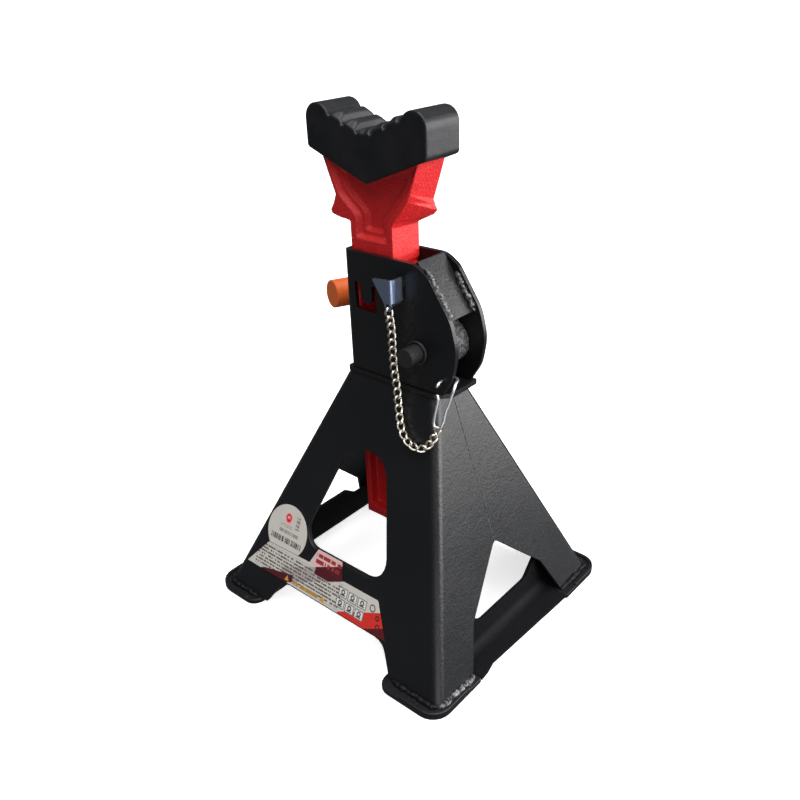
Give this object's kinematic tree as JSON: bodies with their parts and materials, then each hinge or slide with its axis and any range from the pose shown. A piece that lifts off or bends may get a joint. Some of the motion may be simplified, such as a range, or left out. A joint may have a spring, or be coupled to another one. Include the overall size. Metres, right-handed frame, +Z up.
{
  "type": "axle jack stand",
  "caption": "Ratchet axle jack stand: folded steel pyramid base, cast ratchet column with rubber saddle pad, pawl lever, and a lock pin on a keeper chain.",
  "frame": {"origin": "on the floor under the centre of the four feet", "axes": "+X the saddle's long direction, towards the pawl; +Y away from the label face; +Z up, the way the column rises"},
  "size_m": [0.207, 0.1896, 0.3294],
  "materials": {
    "black_paint": "satin powder coat",
    "red_paint": "satin paint over rough casting",
    "black_rubber": "moulded",
    "orange_grip": "soft vinyl",
    "zinc_plate": "bright zinc plate",
    "cast_pawl": "black paint over rough casting",
    "label_film": "printed film"
  },
  "bodies": {
    "frame": {"base_front_shell": "black_paint", "base_rear_shell": "black_paint", "foot_plate_front_left": "black_paint", "foot_plate_front_right": "black_paint", "foot_plate_rear_left": "black_paint", "foot_plate_rear_right": "black_paint", "side_strap_left": "black_paint", "side_strap_right": "black_paint", "neck_collar": "black_paint", "neck_housing": "black_paint", "cover_plate": "black_paint", "cover_weld_front": "black_paint", "cover_weld_rear": "black_paint", "lock_pin_chain": "zinc_plate", "chain_snap_hook": "zinc_plate", "banner_label": "label_film", "round_label": "label_film"},
    "column": {"ratchet_column": "red_paint", "saddle_pad": "black_rubber"},
    "pawl_lever": {"pawl": "cast_pawl", "pawl_roll_pin": "zinc_plate", "lever_rod": "cast_pawl", "lever_grip": "orange_grip", "lever_retainer": "cast_pawl"},
    "lock_pin": {"lock_pin": "zinc_plate", "lock_pin_head": "zinc_plate"}
  },
  "joints": [
    {"name": "column_lift", "type": "slide", "parent": "frame", "child": "column", "axis": [0, 0, 1], "range_m": [0, 0.1392]},
    {"name": "pawl_release", "type": "hinge", "parent": "frame", "child": "pawl_lever", "pos_m": [0.029, 0, 0.1932], "axis": [0, 1, 0], "range_deg": [0, 18]},
    {"name": "lock_pin_pull", "type": "slide", "parent": "frame", "child": "lock_pin", "axis": [0, -1, 0], "range_m": [0, 0.034]}
  ]
}
